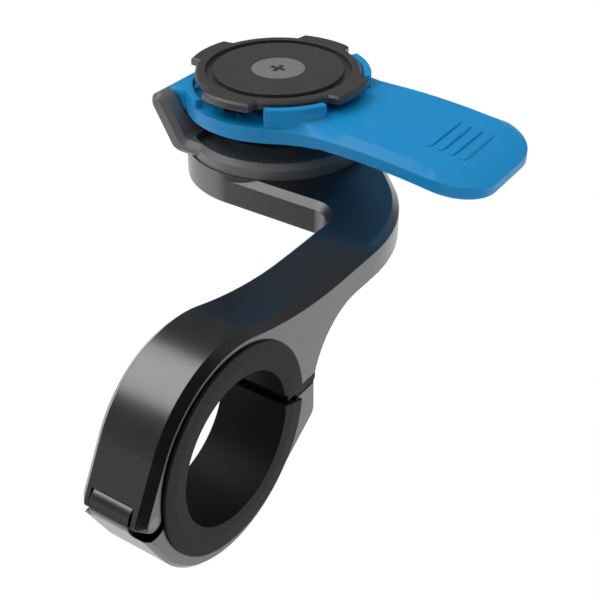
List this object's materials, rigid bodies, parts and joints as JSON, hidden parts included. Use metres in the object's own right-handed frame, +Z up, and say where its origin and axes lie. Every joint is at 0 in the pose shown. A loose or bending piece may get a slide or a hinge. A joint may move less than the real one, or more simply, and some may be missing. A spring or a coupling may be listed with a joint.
{
  "type": "bike phone mount",
  "caption": "Handlebar phone mount: a hinged bar clamp with a reducing collar, a swan-necked arm out in front, and a twist-lock disc with a sprung press lever.",
  "frame": {"origin": "centre of the bar bore, at the middle of the clamp's width", "axes": "+X forward from the bar to the head, +Y along the bar towards the head's side, +Z up"},
  "size_m": [0.1053, 0.0682, 0.0495],
  "materials": {
    "anodised_grey": "satin anodised, dark grey",
    "black_plastic": "matte moulded",
    "dark_plastic": "fine matte texture",
    "blue_plastic": "satin blue",
    "steel": "plain steel",
    "spring_steel": "bright wire",
    "screw_grey": "grey plated"
  },
  "bodies": {
    "arm": {"arm": "anodised_grey", "clamp_hinge_pin": "steel", "bar_collar": "black_plastic", "lever_cradle": "dark_plastic", "lever_hinge_pin": "steel", "lever_return_spring": "spring_steel", "centre_post": "dark_plastic", "lock_disc": "dark_plastic", "head_screw": "screw_grey"},
    "strap": {"clamp_strap": "anodised_grey", "clamp_screw": "steel"},
    "lever": {"release_lever": "blue_plastic"}
  },
  "joints": [
    {"name": "strap_hinge", "type": "hinge", "parent": "arm", "child": "strap", "pos_m": [-0.0192, 0, 0.0004], "axis": [0, 1, 0], "range_deg": [0, 70]},
    {"name": "lever_press", "type": "hinge", "parent": "arm", "child": "lever", "pos_m": [0.0649, 0.0477, 0.0245], "axis": [1, 0, 0], "range_deg": [0, 6.5], "stiffness_Nm_per_rad": 1, "springref_deg": -5.73, "deforming": ["lever_return_spring"]}
  ]
}
